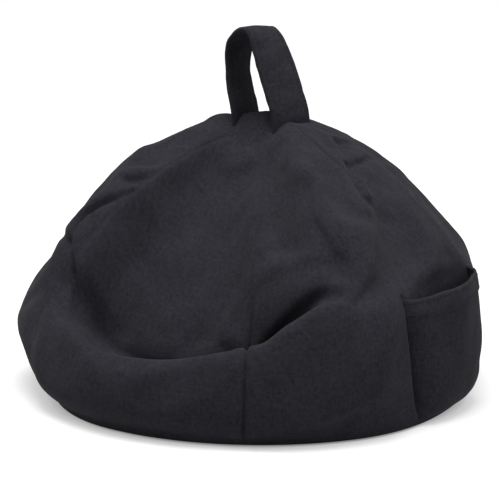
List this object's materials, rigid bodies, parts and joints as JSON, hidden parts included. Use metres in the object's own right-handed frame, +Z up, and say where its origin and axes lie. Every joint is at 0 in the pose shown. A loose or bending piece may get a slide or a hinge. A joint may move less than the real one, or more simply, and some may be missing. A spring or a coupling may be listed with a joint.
{
  "type": "phone pillow stand",
  "caption": "Bead-filled fabric cushion that props a tablet or phone: a ledge and crease in front of a leaning slope, a side pocket, a strap handle on top and a zip across the flat base.",
  "frame": {"origin": "middle of the flat base, on the table", "axes": "+Z up, -Y towards the user in front of the ledge, +X towards the side pocket"},
  "size_m": [0.3108, 0.3076, 0.241],
  "materials": {
    "cover_cloth": "matte woven cotton, dark charcoal",
    "strap_cloth": "the cover cloth, folded and sewn into a strap",
    "zip_tape": "black woven tape",
    "zip_chain": "black nylon coil",
    "zip_metal": "dull grey metal",
    "bead_liner": "plain inner cloth"
  },
  "bodies": {
    "cushion": {"front_panel": "cover_cloth", "right_side_panel": "cover_cloth", "left_side_panel": "cover_cloth", "back_right_panel": "cover_cloth", "back_left_panel": "cover_cloth", "top_cap": "cover_cloth", "base_front_half": "cover_cloth", "base_back_half": "cover_cloth", "side_pocket": "cover_cloth", "pocket_hem": "cover_cloth", "handle_tab_left": "strap_cloth", "handle_tab_right": "strap_cloth", "zip_tape_front": "zip_tape", "zip_tape_back": "zip_tape", "zip_chain": "zip_chain", "zip_top_stop": "zip_metal", "zip_bottom_stop": "zip_metal", "main_bead_bag": "bead_liner", "ledge_bead_bag": "bead_liner", "ledge_baffle": "bead_liner"},
    "handle": {"handle_loop": "strap_cloth"},
    "slider": {"zip_slider": "zip_metal"}
  },
  "joints": [
    {"name": "handle_swing", "type": "hinge", "parent": "cushion", "child": "handle", "pos_m": [0, 0.008, 0.195], "axis": [1, 0, 0], "range_deg": [-75, 75]},
    {"name": "zip_slide", "type": "slide", "parent": "cushion", "child": "slider", "axis": [-1, 0, 0], "range_m": [0, 0.18]}
  ]
}
